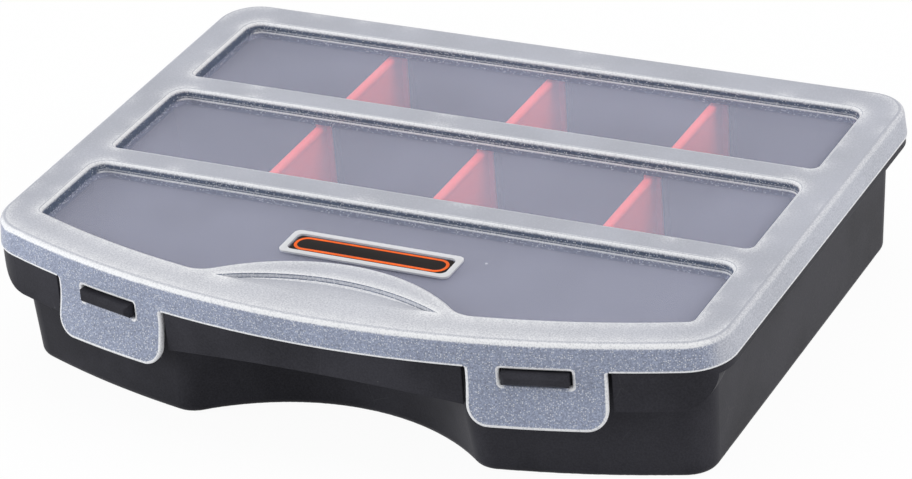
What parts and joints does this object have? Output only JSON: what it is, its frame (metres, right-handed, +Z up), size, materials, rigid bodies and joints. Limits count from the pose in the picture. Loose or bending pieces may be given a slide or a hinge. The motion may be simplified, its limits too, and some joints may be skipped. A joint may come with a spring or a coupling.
{
  "type": "small parts organizer",
  "caption": "Shallow compartment case with a hinged, latched lid, recessed clear panes, loose dividers and a finger grip at its bowed front.",
  "frame": {"origin": "middle of the underside of the whole case, hinge knuckles included", "axes": "+X to the right along the long side, the latched front faces -Y, +Z up"},
  "size_m": [0.21, 0.1656, 0.0423],
  "materials": {
    "tray_plastic": "satin moulded black",
    "frosted_plastic": "frosted, fine sparkle texture",
    "clear_pane": "hazy clear",
    "coral_plastic": "satin coral",
    "badge": "gloss black, plain border line"
  },
  "bodies": {
    "tray": {"base_tray": "tray_plastic", "row_wall_rear": "tray_plastic", "row_wall_front": "tray_plastic", "lug_left": "tray_plastic", "lug_right": "tray_plastic", "hinge_pin_left": "tray_plastic", "hinge_pin_right": "tray_plastic"},
    "lid": {"lid_frame": "frosted_plastic", "window_rear": "clear_pane", "window_middle": "clear_pane", "window_front": "clear_pane", "badge_plate": "badge"},
    "latch_left": {"latch_left": "frosted_plastic"},
    "latch_right": {"latch_right": "frosted_plastic"},
    "divider_rear_left": {"divider_rear_left": "coral_plastic"},
    "divider_rear_middle": {"divider_rear_middle": "coral_plastic"},
    "divider_rear_right": {"divider_rear_right": "coral_plastic"},
    "divider_middle_left": {"divider_middle_left": "coral_plastic"},
    "divider_middle_middle": {"divider_middle_middle": "coral_plastic"},
    "divider_middle_right": {"divider_middle_right": "coral_plastic"}
  },
  "joints": [
    {"name": "lid_hinge", "type": "hinge", "parent": "tray", "child": "lid", "pos_m": [0, 0.0802, 0.0335], "axis": [-1, 0, 0], "range_deg": [0, 110]},
    {"name": "latch_left_flex", "type": "hinge", "parent": "lid", "child": "latch_left", "pos_m": [-0.06054, -0.07425, 0.0391], "axis": [-0.974, 0.2264, 0], "range_deg": [0, 35], "stiffness_Nm_per_rad": 0.6},
    {"name": "latch_right_flex", "type": "hinge", "parent": "lid", "child": "latch_right", "pos_m": [0.06054, -0.07425, 0.0391], "axis": [-0.974, -0.2264, 0], "range_deg": [0, 35], "stiffness_Nm_per_rad": 0.6},
    {"name": "divider_rear_left_lift", "type": "slide", "parent": "tray", "child": "divider_rear_left", "axis": [0, 0, 1], "range_m": [0, 0.0006]},
    {"name": "divider_rear_middle_lift", "type": "slide", "parent": "tray", "child": "divider_rear_middle", "axis": [0, 0, 1], "range_m": [0, 0.0006]},
    {"name": "divider_rear_right_lift", "type": "slide", "parent": "tray", "child": "divider_rear_right", "axis": [0, 0, 1], "range_m": [0, 0.0006]},
    {"name": "divider_middle_left_lift", "type": "slide", "parent": "tray", "child": "divider_middle_left", "axis": [0, 0, 1], "range_m": [0, 0.0006]},
    {"name": "divider_middle_middle_lift", "type": "slide", "parent": "tray", "child": "divider_middle_middle", "axis": [0, 0, 1], "range_m": [0, 0.0006]},
    {"name": "divider_middle_right_lift", "type": "slide", "parent": "tray", "child": "divider_middle_right", "axis": [0, 0, 1], "range_m": [0, 0.0006]}
  ]
}
